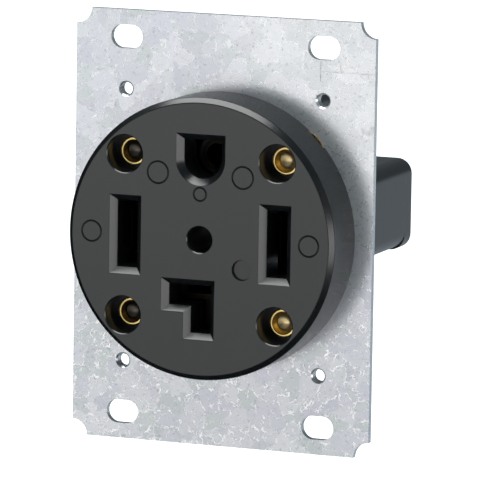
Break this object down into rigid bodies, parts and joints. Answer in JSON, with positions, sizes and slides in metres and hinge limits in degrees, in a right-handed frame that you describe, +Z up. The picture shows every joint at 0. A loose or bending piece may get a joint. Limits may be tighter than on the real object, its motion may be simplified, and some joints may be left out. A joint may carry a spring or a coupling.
{
  "type": "dryer outlet",
  "caption": "Flush-mount dryer outlet: round black face with blade slots on a galvanised steel strap, and a cross-shaped rear body with wire terminals.",
  "frame": {"origin": "centre of the steel strap's back face", "axes": "+X to the right seen from the front, +Y into the wall box, +Z up"},
  "size_m": [0.0698, 0.058, 0.0952],
  "materials": {
    "galvanised_steel": "galvanised, spangled",
    "black_moulding": "moulded, satin",
    "brass": "bright",
    "spring_steel": "blued",
    "nickel": "plated",
    "green_screw": "dyed green"
  },
  "bodies": {
    "root": {"mounting_strap": "galvanised_steel", "face_cover": "black_moulding", "back_body": "black_moulding", "terminal_housing": "black_moulding", "rear_cover": "black_moulding", "face_rivets": "brass", "ground_strap": "brass", "hot_contact_right": "brass", "hot_contact_left": "brass", "neutral_contact": "brass", "ground_contact": "brass", "hot_spring_right": "spring_steel", "hot_spring_left": "spring_steel", "neutral_spring": "spring_steel", "ground_spring": "spring_steel", "hot_lug_right": "brass", "hot_lug_left": "brass", "neutral_lug": "brass", "ground_lug": "brass", "hot_screws": "brass", "neutral_screw": "nickel", "ground_screw": "green_screw"}
  },
  "joints": []
}
